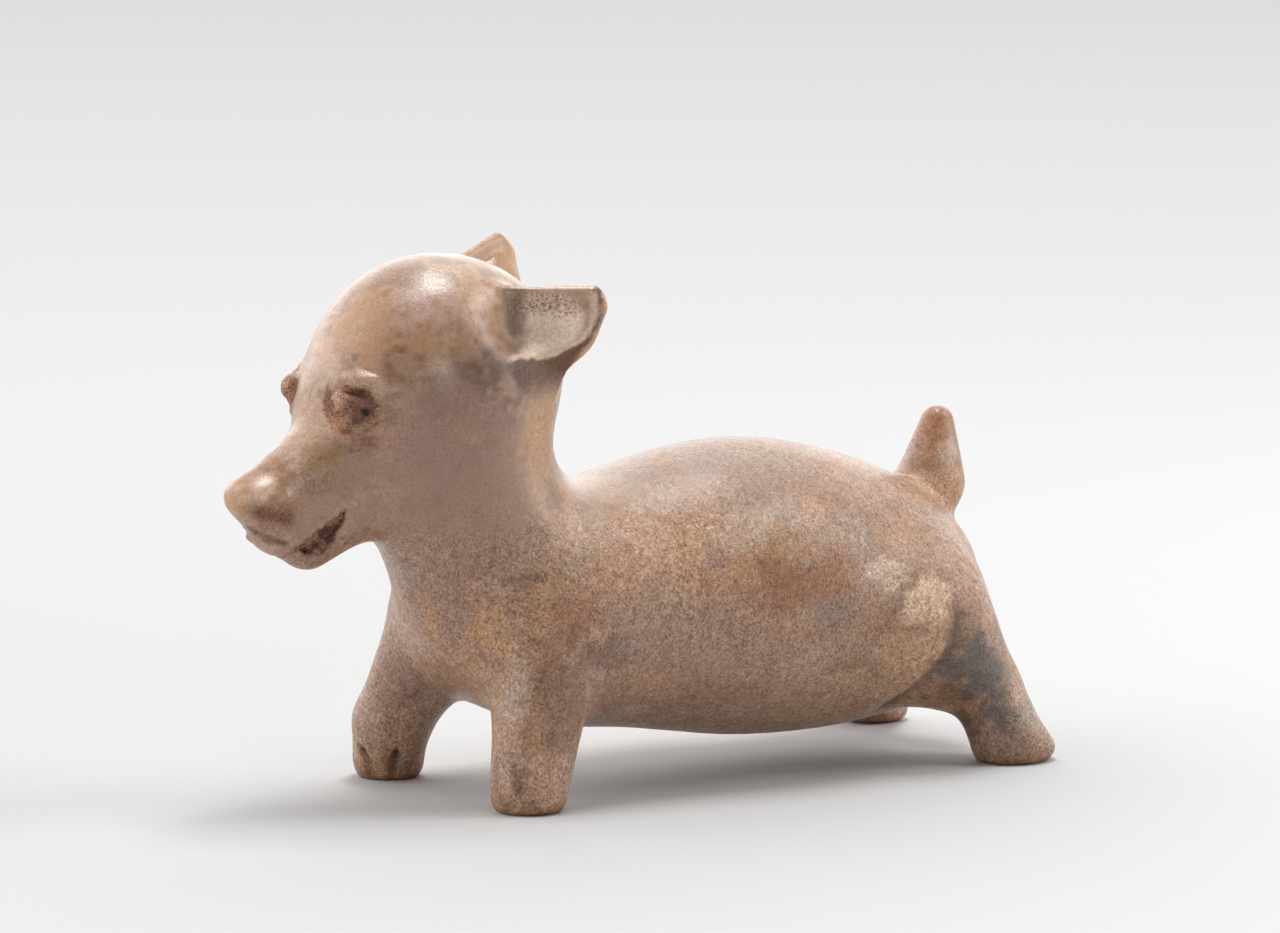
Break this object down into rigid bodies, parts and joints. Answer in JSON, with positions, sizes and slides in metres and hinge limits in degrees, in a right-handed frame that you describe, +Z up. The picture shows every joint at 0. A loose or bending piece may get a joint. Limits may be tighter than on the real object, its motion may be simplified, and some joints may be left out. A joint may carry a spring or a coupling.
{
  "type": "ceramic dog figure",
  "caption": "Hollow burnished clay figure of a standing dog with a domed head, scooped upright ears, coffee-bean eyes, short legs and an upright tail; display object.",
  "frame": {"origin": "on the floor plane, under the middle of the figure's bounding box", "axes": "+Z up; +Y from the nose towards the tail, so the dog looks along -Y; +X is the dog's left side"},
  "size_m": [0.1356, 0.3436, 0.2027],
  "materials": {
    "burnished_clay": "burnished reddish-tan slip, semi-gloss on the rounded parts, mottled and finely crackled"
  },
  "bodies": {
    "root": {"dog_figure": "burnished_clay"}
  },
  "joints": []
}
